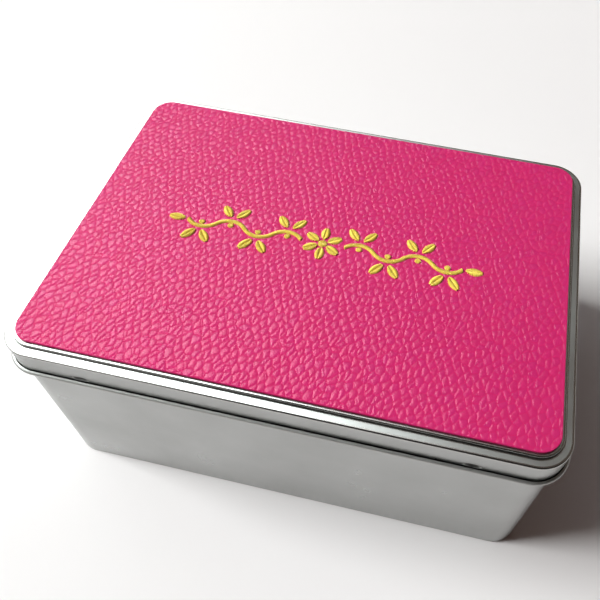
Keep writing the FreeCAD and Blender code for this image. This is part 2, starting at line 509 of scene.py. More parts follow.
class MaterialBench(NodeBench):
    """A material being wired, with its shader's sockets and its object coordinates at hand."""

    def __init__(self, name: str, constants: dict[str, float]) -> None:
        """Start a material with some constants set on its shader.

        Args:
            name: the material's name.
            constants: values for the shader's own sockets.
        """
        self.material = bpy.data.materials.new(name)
        self.material.use_nodes = True
        super().__init__(self.material.node_tree)
        self.shader = self.tree.nodes["Principled BSDF"]
        for socket, value in constants.items():
            self.shader.inputs[socket].default_value = value
        self.spot = self.place("ShaderNodeTexCoord").outputs["Object"]

    def ended(self, results: dict[str, Socket]) -> bpy.types.Material:
        """Feed the shader and end the material.

        Args:
            results: what feeds each of the shader's sockets.

        Returns:
            The material.
        """
        for name, result in results.items():
            self.feed(self.shader.inputs[name], result)
        return self.material


@dataclass(frozen=True)
class TinplateFinish:
    """Satin tinplate: cloudy tin coat, rolling grain, scuffs and polished bends.

    Worked metal, such as the hem's curl, is matt, and so is the painted shade: a dark colour
    laid into grooves, dimples, the step and the foot, where they lie in shade or reflect dark.
    """

    name: str
    colour: Colour = (0.412, 0.418, 0.410)
    dull_colour: Colour = (0.38, 0.385, 0.376)
    bend_colour: Colour = (0.47, 0.465, 0.45)
    # painted shade: a dark colour that stands for shade and dark reflections in grooves, dimples, the
    # step and the foot
    painted_shade_colour: Colour = (0.06, 0.056, 0.05)
    dull_share: float = 0.8
    roughness: float = 0.27
    dull_roughness: float = 0.36
    scuff_roughness: float = 0.03
    bend_roughness: float = 0.17
    worked_roughness: float = 0.55
    cloud_size: float = 22 * MM
    scuff_length: float = 9 * MM
    scuff_width: float = 0.5 * MM
    grain_size: float = 0.33 * MM
    grain_depth: float = 0.014 * MM
    wave_size: float = 45 * MM
    wave_depth: float = 0.015 * MM

    def material(self, effects: SharedEffects) -> bpy.types.Material:
        """Make the finish as a material.

        Args:
            effects: the shared shader groups.

        Returns:
            The material.
        """
        bench = MaterialBench(self.name, {"Metallic": 1.0})
        cloud = effects.mottle.used_in(bench, bench.spot, Size=self.cloud_size).outputs["Value"]
        scuff = effects.scuffs.used_in(bench, bench.spot, Length=self.scuff_length,
                                       Width=self.scuff_width).outputs["Mask"]
        bend, grime, worked = [bench.carried(name) for name in ("bend", "grime", "worked")]
        dull = bench.maths("MULTIPLY", cloud, self.dull_share)
        colour = bench.tinted(dull, self.colour, self.dull_colour)
        colour = bench.tinted(bend, colour, self.bend_colour)
        rough = bench.ranged(cloud, 0.0, 1.0, self.roughness, self.dull_roughness)
        rough = bench.maths("MULTIPLY_ADD", scuff, self.scuff_roughness, rough)
        past_polish = bench.maths("SUBTRACT", rough, self.bend_roughness)
        unbent = bench.maths("SUBTRACT", 1.0, bend)
        rough = bench.maths("MULTIPLY_ADD", past_polish, unbent, self.bend_roughness)
        matt = bench.maths("MULTIPLY", bench.maths("MAXIMUM", grime, worked), self.worked_roughness)
        grain = bench.noise(bench.spot, self.grain_size).outputs[0]
        wave = bench.noise(bench.spot, self.wave_size, 0.0).outputs[0]
        height = bench.maths("MULTIPLY_ADD", wave, self.wave_depth / self.grain_depth, grain)
        # the painted shade darkens the base colour and dulls the metal wherever its mask is set
        return bench.ended({
            "Base Color": bench.tinted(grime, colour, self.painted_shade_colour),
            "Roughness": bench.maths("MAXIMUM", rough, matt),
            "Normal": bench.bumped(height, self.grain_depth),
        })


@dataclass(frozen=True)
class LeatherFinish:
    """Dyed pebble-grain leather: grooves, faceted pebbles with fine pores and a soft gloss on them."""

    name: str
    grain: PebbleGrain
    colour: Colour = (0.58, 0.020, 0.142)
    groove_colour: Colour = (0.60, 0.015, 0.121)
    pale_colour: Colour = (0.59, 0.026, 0.157)
    edge_colour: Colour = (0.20, 0.02, 0.05)
    dye_size: float = 35 * MM
    dye_share: float = 0.5
    tone_share: float = 0.05
    groove_height: float = 0.3
    roughness: float = 0.6
    shine: float = 0.15
    gloss_roughness: float = 0.27
    gloss_ior: float = 1.56
    gloss: float = 0.42
    groove_gloss: float = 0.05
    gloss_depth: float = 0.185 * MM
    softness: float = 0.6
    shoulder: float = 0.45
    pore_size: float = 0.35 * MM
    pore_share: float = 0.03

    def material(self, effects: SharedEffects) -> bpy.types.Material:
        """Make the finish as a material.

        Args:
            effects: the shared shader groups.

        Returns:
            The material.
        """
        constants = {"Roughness": self.roughness, "Specular IOR Level": self.shine,
                     "Coat Roughness": self.gloss_roughness, "Coat IOR": self.gloss_ior}
        bench = MaterialBench(self.name, constants)
        height, tone = self.grain.lay(bench, bench.spot, self.shoulder)
        dye = effects.mottle.used_in(bench, bench.spot, Size=self.dye_size).outputs["Value"]
        dyed = bench.tinted(bench.maths("MULTIPLY", dye, self.dye_share), self.colour, self.pale_colour)
        toned = bench.tinted(self.tone_share, dyed, tone, Blend.GRADE)
        top = bench.ranged(height, 0.0, self.groove_height)
        grained = bench.tinted(top, self.groove_colour, toned)
        gloss = bench.ranged(top, 0.0, 1.0, self.groove_gloss, self.gloss)
        pores = bench.noise(bench.spot, self.pore_size).outputs[0]
        relief = bench.maths("MULTIPLY_ADD", pores, self.pore_share, height)
        cut = bench.carried("cut_edge")
        face = bench.maths("SUBTRACT", 1.0, cut)
        return bench.ended({
            "Base Color": bench.tinted(cut, grained, self.edge_colour),
            "Coat Weight": bench.maths("MULTIPLY", gloss, face),
            "Coat Normal": bench.bumped(relief, self.gloss_depth),
            "Normal": self._softened(bench, face),
        })

    def _softened(self, bench: MaterialBench, face: Socket) -> Socket:
        """Turn normals towards the face's own upright, as light that spreads in the leather does.

        Args:
            bench: the material's bench.
            face: a mask that is 1 on the face and 0 on the cut edge.

        Returns:
            The softened normals.
        """
        normal = bench.place("ShaderNodeNewGeometry").outputs["Normal"]
        up = {"Vector": (0.0, 0.0, 1.0)}
        upright = bench.place("ShaderNodeVectorTransform", up, vector_type="NORMAL",
                              convert_from="OBJECT", convert_to="WORLD").outputs[0]
        share = bench.maths("MULTIPLY", face, self.softness)
        turn = bench.vectors("MULTIPLY", bench.vectors("SUBTRACT", upright, normal), share)
        return bench.vectors("NORMALIZE", bench.vectors("ADD", normal, turn))


@dataclass(frozen=True)
class ThreadFinish:
    """Silky embroidery thread, with a tone of its own for each stitch."""

    name: str
    colour: Colour = (0.94, 0.80, 0.14)
    deep_colour: Colour = (0.78, 0.58, 0.07)
    tone_share: float = 0.55
    fade_share: float = 0.2
    fade_size: float = 14 * MM
    roughness: float = 0.38
    sheen: float = 0.25
    sheen_roughness: float = 0.4
    fibre_size: float = 0.12 * MM
    fibre_depth: float = 0.02 * MM

    def material(self, effects: SharedEffects) -> bpy.types.Material:
        """Make the finish as a material.

        Args:
            effects: the shared shader groups.

        Returns:
            The material.
        """
        constants = {"Roughness": self.roughness, "Sheen Weight": self.sheen,
                     "Sheen Roughness": self.sheen_roughness}
        bench = MaterialBench(self.name, constants)
        fade = effects.mottle.used_in(bench, bench.spot, Size=self.fade_size).outputs["Value"]
        tone = bench.maths("MULTIPLY", bench.carried("stitch_tone"), self.tone_share)
        share = bench.maths("MULTIPLY_ADD", fade, self.fade_share, tone)
        fibre = bench.noise(bench.spot, self.fibre_size, 1.0).outputs[0]
        return bench.ended({
            "Base Color": bench.tinted(share, self.colour, self.deep_colour),
            "Normal": bench.bumped(fibre, self.fibre_depth),
        })


@dataclass(frozen=True)
class PlainFinish:
    """Matt surface with a soft cloudy variation, for the adhesive film and the table top."""

    name: str
    colour: Colour
    cloud_colour: Colour
    cloud_size: float
    roughness: float

    def material(self, effects: SharedEffects) -> bpy.types.Material:
        """Make the finish as a material.

        Args:
            effects: the shared shader groups.

        Returns:
            The material.
        """
        bench = MaterialBench(self.name, {"Roughness": self.roughness})
        cloud = effects.mottle.used_in(bench, bench.spot, Size=self.cloud_size).outputs["Value"]
        return bench.ended({"Base Color": bench.tinted(cloud, self.colour, self.cloud_colour)})


@dataclass(frozen=True)
class TinSizes:
    """Sizes that the wall, the base and the lid share. The outline is read from the frame."""

    half_length: float
    half_width: float
    height: float
    corner_radius: float = 11.0 * MM
    sheet: float = 0.3 * MM
    bend_step: float = math.radians(8.0)
    corner_steps: int = 18
    support: float = 0.4 * MM

    @classmethod
    def from_frame(cls) -> "TinSizes":
        """Read the outline of the wall from the frame."""
        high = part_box("body_wall")[1]
        return cls(high.x, high.y, high.z)

    def outside(self, places: np.ndarray) -> np.ndarray:
        """How far each place lies outside the wall's outer face, seen from above.

        Args:
            places: points, one to a row.

        Returns:
            The distances, less than zero inside.
        """
        inner = np.array((self.half_length, self.half_width)) - self.corner_radius
        past = np.abs(places[:, :2]) - inner
        beyond = np.hypot(*np.maximum(past, 0.0).T) + np.minimum(past.max(axis=1), 0.0)
        return beyond - self.corner_radius

    def plan(self, long_side_stops: Sequence[float] = ()) -> list[Spot]:
        """Points round the wall's outer face, seen from above and turning to the left.

        Args:
            long_side_stops: more places along X that both long sides need.

        Returns:
            The points, as a closed ring.
        """
        inner_x = self.half_length - self.corner_radius
        inner_y = self.half_width - self.corner_radius
        stops = sorted(long_side_stops)
        ring = []
        for corner, (side_x, side_y) in enumerate(((1, 1), (-1, 1), (-1, -1), (1, -1))):
            for step in range(-1, self.corner_steps + 2):
                on_arc = min(max(step, 0), self.corner_steps)
                angle = math.pi / 2 * (corner + on_arc / self.corner_steps)
                past = (step - on_arc) * self.support
                cos, sin = math.cos(angle), math.sin(angle)
                x = side_x * inner_x + self.corner_radius * cos - past * sin
                y = side_y * inner_y + self.corner_radius * sin + past * cos
                ring.append((x, y, 0.0))
            if corner in (0, 2):
                ordered = stops if corner == 2 else stops[::-1]
                ring += [(x, side_y * self.half_width, 0.0) for x in ordered]
        return ring


@dataclass
class SheetLine:
    """Centre line of a bent sheet, as corners of reach, height and bend radius."""

    corners: list[Spot]
    sizes: TinSizes
    stops: Sequence[float] = ()

    def side(self, offset: float) -> list[Spot]:
        """Points along one side of the sheet.

        Args:
            offset: distance to the left of the centre line.

        Returns:
            Points of reach, height and a mark that is 1 on a bend.
        """
        spots = [np.array(corner[:2]) for corner in self.corners]
        ways = [(end - start) / np.linalg.norm(end - start) for start, end in zip(spots, spots[1:])]
        lefts = [np.array((-way[1], way[0])) for way in ways]
        points = [(*(spots[0] + lefts[0] * offset), 0.0)]
        for index in range(1, len(spots) - 1):
            way_in, way_out, left = ways[index - 1], ways[index], lefts[index - 1]
            radius = self.corners[index][2]
            turn = math.acos(np.clip(way_in @ way_out, -1.0, 1.0))
            sense = math.copysign(1.0, left @ way_out)
            centre = spots[index] - way_in * radius * math.tan(turn / 2) + left * radius * sense
            steps = max(2, math.ceil(turn / self.sizes.bend_step))
            for step in range(steps + 1):
                angle = turn * step / steps
                spoke = way_in * math.sin(angle) - left * sense * math.cos(angle)
                points.append((*(centre + spoke * (radius - sense * offset)), 1.0))
        points.append((*(spots[-1] + lefts[-1] * offset), 0.0))
        return self._supported(points)

    def _supported(self, points: list[Spot]) -> list[Spot]:
        """Add points close to the bends on long flats, and at the stops on upright ones.

        Args:
            points: points of reach, height and bend mark.

        Returns:
            The points, with the new ones among them.
        """
        support = self.sizes.support
        result = []
        for here, after in zip(points, points[1:]):
            start, end = np.array(here), np.array(after)
            span = np.linalg.norm(end[:2] - start[:2])
            if not result or np.linalg.norm(np.array(result[-1][:2]) - start[:2]) > SAME_SPOT:
                result.append(here)
            if span > 4 * support:
                near = support / span
                shares = [near, 1 - near]
                if abs(end[0] - start[0]) < SAME_SPOT:
                    heights = [(stop - start[1]) / (end[1] - start[1]) for stop in self.stops]
                    shares += [share for share in heights if 2 * near < share < 1 - 2 * near]
                result += [(*(start + (end - start) * share)[:2], 0.0) for share in sorted(shares)]
        return result + [points[-1]]

    def section(self, name: str, joined: bool) -> bpy.types.Object:
        """Draw the sheet's section, its height downwards along Y.

        Args:
            name: the section's name.
            joined: whether the first end is left open, to join a flat plate.

        Returns:
            The section, as an object of edges.
        """
        half = self.sizes.sheet / 2
        outline = self.side(half) + self.side(-half)[::-1]
        count = len(outline)
        edges = [(index, index + 1) for index in range(count - 1)]
        if not joined:
            edges.append((count - 1, 0))
        piece = new_piece(name, [(reach, -height, 0.0) for reach, height, _ in outline], edges)
        store(piece, "bend", [mark for _, _, mark in outline])
        return piece


class SheetFormer:
    """Bends sheet metal round the tin: one tree carries any section along any plan."""

    def __init__(self) -> None:
        """Build the tree that carries a section round a plan."""
        tree = PieceTree("carried_round")
        section = tree.place("GeometryNodeObjectInfo", {"Object": tree.takes("Section", "Object")})
        profile = tree.place("GeometryNodeMeshToCurve", {"Mesh": section.outputs["Geometry"]})
        plan = tree.place("GeometryNodeMeshToCurve", {"Mesh": tree.start})
        upright = tree.place("GeometryNodeSetCurveNormal", {"Curve": plan.outputs[0]}, mode="Z_UP")
        feeds = {"Curve": upright.outputs[0], "Profile Curve": profile.outputs[0]}
        tree.gives(tree.place("GeometryNodeCurveToMesh", feeds).outputs[0])
        self.tree = tree

    def form(self, name: str, line: SheetLine, plan: Sequence, joined: bool,
             material: bpy.types.Material) -> bpy.types.Object:
        """Carry a bent sheet round the tin, and fill in the plate that it runs into.

        Args:
            name: the piece's name.
            line: the sheet's centre line.
            plan: the ring that it follows.
            joined: whether the sheet runs into a flat plate inside the ring.
            material: the piece's finish.

        Returns:
            The piece.
        """
        section = line.section(name + "_section", joined)
        count = len(plan)
        piece = new_piece(name, plan, [(index, (index + 1) % count) for index in range(count)])
        self.tree.shape(piece, {"Section": section, "Material": material})
        bpy.data.objects.remove(section)
        mesh = bmesh.new()
        mesh.from_mesh(piece.data)
        bmesh.ops.remove_doubles(mesh, verts=mesh.verts, dist=SAME_SPOT)
        rims = [edge for edge in mesh.edges if edge.is_boundary]
        bmesh.ops.holes_fill(mesh, edges=rims, sides=0)
        bmesh.ops.recalc_face_normals(mesh, faces=mesh.faces)
        for face in mesh.faces:
            face.smooth = True
        mesh.to_mesh(piece.data)
        mesh.free()
        piece.data.set_sharp_from_angle(angle=METAL_CREASE)
        return piece


def soft_step(value: np.ndarray, start: float, end: float) -> np.ndarray:
    """Rise smoothly from 0 at the start to 1 at the end."""
    share = np.clip((value - start) / (end - start), 0.0, 1.0)
    return share * share * (3 - 2 * share)


def read_points(piece: bpy.types.Object) -> np.ndarray:
    """Places of a piece's points, one row each."""
    flat = np.empty(len(piece.data.vertices) * 3, np.float32)
    piece.data.vertices.foreach_get("co", flat)
    return flat.reshape(-1, 3).astype(float)


def move_points(piece: bpy.types.Object, places: np.ndarray) -> None:
    """Move a piece's points to new places."""
    piece.data.vertices.foreach_set("co", places.astype(np.float32).ravel())
    piece.data.update()


@dataclass
class TinBody:
    """The tin itself: a wrapped wall and the base that is hooked into its foot."""

    sizes: TinSizes
    finish: TinplateFinish = TinplateFinish("body_tinplate")
    foot_bend: float = 0.65 * MM
    # painted shade at the foot, where the wall meets the table: how dark it is, and up to what share of
    # the foot's bend it reaches
    foot_painted_shade: float = 0.9
    foot_shade_share: float = 0.8
    rim_curl: float = 0.9 * MM
    curl_lap: float = 0.35
    seam_width: float = 2.8 * MM
    seam_clearance: float = 0.08 * MM
    base_border: float = 6.0 * MM
    base_step: float = 0.8 * MM
    base_step_run: float = 0.9 * MM
    base_bend: float = 0.5 * MM
    joint_half_width: float = 2.0 * MM
    joint_rise: float = 0.5 * MM
    joint_end_gap: float = 1.2 * MM
    joint_edge: float = 0.3 * MM
    joint_edge_shares: tuple[float, ...] = (0.0, 0.33, 0.67, 1.0)
    line_width: float = 0.6 * MM
    line_depth: float = 0.12 * MM
    face_tolerance: float = 0.02 * MM

    def build(self, former: SheetFormer, effects: SharedEffects) -> None:
        """Build the wall and the base in one finish.

        Args:
            former: what bends the sheet.
            effects: the shared shader groups.
        """
        material = self.finish.material(effects)
        fit(self.wall(former, material), Body.TIN, Slot.TINPLATE, "body_wall")
        fit(self.base(former, material), Body.TIN, Slot.TINPLATE, "base_panel")

    @property
    def seam_pitch(self) -> float:
        """Height from one fold of the foot's seam to the next but one."""
        return 2 * (self.sizes.sheet + self.seam_clearance)

    @property
    def border_level(self) -> float:
        """Height of the centre of the base's flat border."""
        return self.sizes.sheet / 2 + 1.5 * self.seam_pitch

    @property
    def joint_span(self) -> tuple[float, float]:
        """Lowest and highest point of the folded joint."""
        low = self.border_level + self.base_step + self.sizes.sheet / 2 + self.joint_end_gap
        return low, self.sizes.height - 2 * self.rim_curl - self.joint_end_gap

    def wall(self, former: SheetFormer, material: bpy.types.Material) -> bpy.types.Object:
        """Make the wall: hooked foot, curled rim and the folded joint up its back.

        Args:
            former: what bends the sheet.
            material: the tinplate.

        Returns:
            The wall.
        """
        sheet = self.sizes.sheet
        curl = self.rim_curl - sheet / 2
        centre = -sheet / 2
        rim = self.sizes.height - sheet / 2
        fold = sheet / 2 - self.seam_width
        edge = -1.5 * sheet - self.seam_clearance - self.seam_pitch / 2
        corners = [
            (edge, sheet / 2 + self.seam_pitch, 0.0),
            (fold, sheet / 2 + self.seam_pitch, self.seam_pitch / 2),
            (fold, sheet / 2, self.seam_pitch / 2),
            (centre, sheet / 2, self.foot_bend - sheet / 2),
            (centre, rim, curl),
            (centre - 2 * curl, rim, curl),
            (centre - 2 * curl, rim - 2 * curl, curl),
            (centre - curl + self.curl_lap * curl, rim - 2 * curl, 0.0),
        ]
        low, high = self.joint_span
        edge_steps = [share * self.joint_edge for share in self.joint_edge_shares]
        levels = [low + step for step in edge_steps] + [high - step for step in edge_steps]
        outside = [self.joint_half_width - self.line_width + step for step in edge_steps]
        outside += [self.joint_half_width + step for step in edge_steps]
        stations = sorted({round(side * x, 7) for x in outside for side in (-1, 1)})
        plan = self.sizes.plan(stations)
        piece = former.form("tin_wall", SheetLine(corners, self.sizes, levels), plan, False, material)
        self._fold_joint(piece)
        # paint shade on the foot, where the wall meets the table
        foot = read_points(piece)[:, 2] < self.foot_shade_share * self.foot_bend
        store(piece, "grime", self.foot_painted_shade * foot)
        return piece

    def _fold_joint(self, piece: bpy.types.Object) -> None:
        """Press the folded joint up the back: a doubled strip inside and a fine line outside.

        Args:
            piece: the plain wall.
        """
        places = read_points(piece)
        x, y, z = places.T
        low, high = self.joint_span
        upright = soft_step(z, low, low + self.joint_edge) * soft_step(-z, -high, self.joint_edge - high)
        edge = self.joint_half_width + self.joint_edge
        strip = soft_step(-np.abs(x), -edge, -self.joint_half_width) * upright
        line_start = self.joint_half_width - self.line_width
        line = soft_step(x, line_start, line_start + self.joint_edge)
        line *= soft_step(-x, -self.joint_half_width - self.joint_edge, -self.joint_half_width) * upright
        outer_face = self.sizes.half_width
        inner = np.abs(y - outer_face + self.sizes.sheet) < self.face_tolerance
        outer = np.abs(y - outer_face) < self.face_tolerance
        y[inner] -= (self.joint_rise * strip)[inner]
        y[outer] -= (self.line_depth * line)[outer]
        move_points(piece, places)

    def base(self, former: SheetFormer, material: bpy.types.Material) -> bpy.types.Object:
        """Make the base: its edge hooks into the wall's foot and a pressed step stiffens it.

        Args:
            former: what bends the sheet.
            material: the tinplate.

        Returns:
            The base.
        """
        sheet = self.sizes.sheet
        pitch = self.seam_pitch
        hook = sheet / 2 + pitch / 2
        fold = -1.5 * sheet - self.seam_clearance
        head = -self.base_border - self.base_step_run
        top = self.border_level + self.base_step
        corners = [
            (head - self.base_bend - sheet, top, 0.0),
            (head, top, self.base_bend),
            (-self.base_border, self.border_level, self.base_bend),
            (fold, self.border_level, pitch / 2),
            (fold, hook, pitch / 2),
            (sheet / 2 - self.seam_width + pitch / 2, hook, 0.0),
        ]
        return former.form("tin_base", SheetLine(corners, self.sizes), self.sizes.plan(), True, material)


@dataclass
class Lid:
    """The slip lid: raised plateau, ledge, skirt with grip dimples and outward curled hem."""

    sizes: TinSizes
    finish: TinplateFinish = TinplateFinish("lid_tinplate")
    adhesive: PlainFinish = PlainFinish(
        "adhesive_film", colour=(0.70, 0.67, 0.58), cloud_colour=(0.60, 0.57, 0.49),
        cloud_size=6 * MM, roughness=0.35)
    clearance: float = 0.9 * MM
    rim_gap: float = 0.3 * MM
    depth: float = 11.6 * MM
    ledge_width: float = 3.18 * MM
    shoulder: float = 0.65 * MM
    plateau_height: float = 1.4 * MM
    plateau_border: float = 3.0 * MM
    plateau_draft: float = 0.2 * MM
    plateau_bend: float = 0.35 * MM
    hem_curl: float = 0.88 * MM
    hem_lap: float = math.radians(20.0)
    dimple_length: float = 7.5 * MM
    dimple_height: float = 2.6 * MM
    dimple_clearance: float = 0.2 * MM
    dimple_lift: float = 0.1 * MM
    dimple_spacing: float = 138.0 * MM
    dimple_floor: float = 0.08
    dimple_reach: tuple[float, float] = (0.6, 0.55)
    dimple_lines: tuple[int, int] = (33, 17)
    # painted shade on the plateau's step, which reflects dark, and in the dimples, which lie in shade
    step_painted_shade: float = 0.65
    dimple_painted_shade: float = 0.9
    groove_share: float = 0.5
    mark_margin: float = 0.1 * MM

    def build(self, former: SheetFormer, effects: SharedEffects) -> None:
        """Build the shell, and dress the film that holds the leather to it.

        Args:
            former: what bends the sheet.
            effects: the shared shader groups.
        """
        fit(self.shell(former, self.finish.material(effects)), Body.LID, Slot.TINPLATE, "lid_shell")
        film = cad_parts["lid_adhesive"]
        film.data.materials.clear()
        film.data.materials.append(self.adhesive.material(effects))
        LOG.info("%s keeps its own shape", film.name)

    @property
    def ledge_top(self) -> float:
        """Height of the ledge round the plateau."""
        return self.sizes.height + self.rim_gap + self.sizes.sheet

    @property
    def hem_top(self) -> float:
        """Height of the top of the hem's curl."""
        return self.ledge_top - self.depth + 2 * self.hem_curl

    @property
    def dimple_level(self) -> float:
        """Height of the middle of the dimples."""
        return self.hem_top + self.dimple_lift + self.dimple_height / 2

    @property
    def dimple_depth(self) -> float:
        """How far the dimples are pressed in."""
        return self.clearance - self.dimple_clearance

    def shell(self, former: SheetFormer, material: bpy.types.Material) -> bpy.types.Object:
        """Make the drawn shell with its grip dimples.

        Args:
            former: what bends the sheet.
            material: the tinplate.

        Returns:
            The shell.
        """
        sheet = self.sizes.sheet
        curl = self.hem_curl - sheet / 2
        skirt = self.clearance + sheet / 2
        hem_level = self.ledge_top - self.depth + sheet / 2
        curl_top = hem_level + 2 * curl
        lap = curl * math.tan(self.hem_lap / 2)
        lap_corner = skirt + curl - lap
        head = self.clearance + sheet - self.ledge_width - sheet / 2 - self.plateau_draft
        ledge = self.ledge_top - sheet / 2
        corners = [
            (head - self.plateau_border, ledge + self.plateau_height, 0.0),
            (head, ledge + self.plateau_height, self.plateau_bend),
            (head + self.plateau_draft, ledge, self.plateau_bend),
            (skirt, ledge, self.shoulder - sheet / 2),
            (skirt, hem_level, curl),
            (skirt + 2 * curl, hem_level, curl),
            (skirt + 2 * curl, curl_top, curl),
            (lap_corner, curl_top, curl),
            (lap_corner - lap * math.cos(self.hem_lap), curl_top - lap * math.sin(self.hem_lap), 0.0),
        ]
        (wide, high), (columns, rows) = self.dimple_reach, self.dimple_lines
        across = np.linspace(-wide, wide, columns) * self.dimple_length
        stations = [side * self.dimple_spacing / 2 + x for side in (-1, 1) for x in across]
        levels = self.dimple_level + np.linspace(-high, high, rows) * self.dimple_height
        line = SheetLine(corners, self.sizes, list(levels))
        piece = former.form("lid_shell_drawn", line, self.sizes.plan(stations), True, material)
        dimples = {"Length": self.dimple_length, "Height": self.dimple_height,
                   "Depth": self.dimple_depth, "Spacing": self.dimple_spacing,
                   "Level": self.dimple_level, "Long Side": self.sizes.half_width,
                   "Material": material}
        self.dimple_tree().shape(piece, dimples)
        self._mark_worked_and_shade(piece)
        piece.data.set_sharp_from_angle(angle=METAL_CREASE)
        return piece

    def _mark_worked_and_shade(self, piece: bpy.types.Object) -> None:
        """Mark the hem's worked metal, and the painted shade in its groove, in the dimples and on the
        step.

        Args:
            piece: the drawn shell.
        """
        places = read_points(piece)
        x, _, z = places.T
        margin = self.mark_margin
        below_top = self.hem_top - z
        above_ledge = z - self.ledge_top
        out = self.sizes.outside(places) - self.clearance - self.sizes.sheet
        hem = (out > -margin) & (below_top > -margin) & (below_top < self.hem_curl)
        groove = hem & (out < self.groove_share * self.hem_curl)
        step = (above_ledge > margin) & (above_ledge < self.plateau_height - self.plateau_bend)
        pressed = np.clip(-out / self.dimple_depth, 0.0, 1.0)
        pressed *= np.abs(z - self.dimple_level) < self.dimple_height / 2
        pressed *= np.abs(np.abs(x) - self.dimple_spacing / 2) < self.dimple_length / 2
        # the groove, the dimples and the step are painted dark as shade
        grime = np.maximum(self.step_painted_shade * step, self.dimple_painted_shade * pressed)
        store(piece, "grime", np.maximum(groove, grime))
        store(piece, "worked", hem.astype(float))

    def dimple_tree(self) -> PieceTree:
        """Build the tree that presses lens-shaped dimples into the long sides of the skirt.

        Returns:
            The tree.
        """
        tree = PieceTree("pressed_dimples")
        place = tree.place("GeometryNodeInputPosition").outputs[0]
        x, y, z = tree.place("ShaderNodeSeparateXYZ", {"Vector": place}).outputs
        half_spacing = tree.maths("DIVIDE", tree.takes("Spacing"), 2.0)
        along = tree.maths("SUBTRACT", tree.maths("ABSOLUTE", x), half_spacing)
        across = tree.maths("DIVIDE", along, tree.maths("DIVIDE", tree.takes("Length"), 2.0))
        above = tree.maths("SUBTRACT", z, tree.takes("Level"))
        upright = tree.maths("DIVIDE", above, tree.maths("DIVIDE", tree.takes("Height"), 2.0))
        far = tree.maths("ADD", tree.maths("POWER", tree.maths("ABSOLUTE", across), 2.0),
                         tree.maths("POWER", tree.maths("ABSOLUTE", upright), 2.0))
        lens = tree.ranged(far, self.dimple_floor, 1.0, 1.0, 0.0, Easing.SMOOTH)
        on_side = tree.maths("GREATER_THAN", tree.maths("ABSOLUTE", y), tree.takes("Long Side"))
        inwards = tree.maths("MULTIPLY", tree.maths("SIGN", y), -1.0)
        press = tree.maths("MULTIPLY", tree.maths("MULTIPLY", lens, tree.takes("Depth")), on_side)
        tree.gives(tree.moved(tree.start, Y=tree.maths("MULTIPLY", press, inwards)))
        return tree


@dataclass(frozen=True)
class Stitch:
    """One thread, laid over the leather from one needle hole to another."""

    start: tuple[float, float]
    end: tuple[float, float]
    rise: float

    def mirrored(self) -> "Stitch":
        """The same stitch on the other side of the flower."""
        return Stitch((-self.start[0], self.start[1]), (-self.end[0], self.end[1]), self.rise)

    def placed(self, angle: float, x: float, y: float) -> "Stitch":
        """The stitch turned about the origin, then moved."""
        cos, sin = math.cos(angle), math.sin(angle)
        spots = [(x + cos * u - sin * v, y + sin * u + cos * v) for u, v in (self.start, self.end)]
        return Stitch(spots[0], spots[1], self.rise)


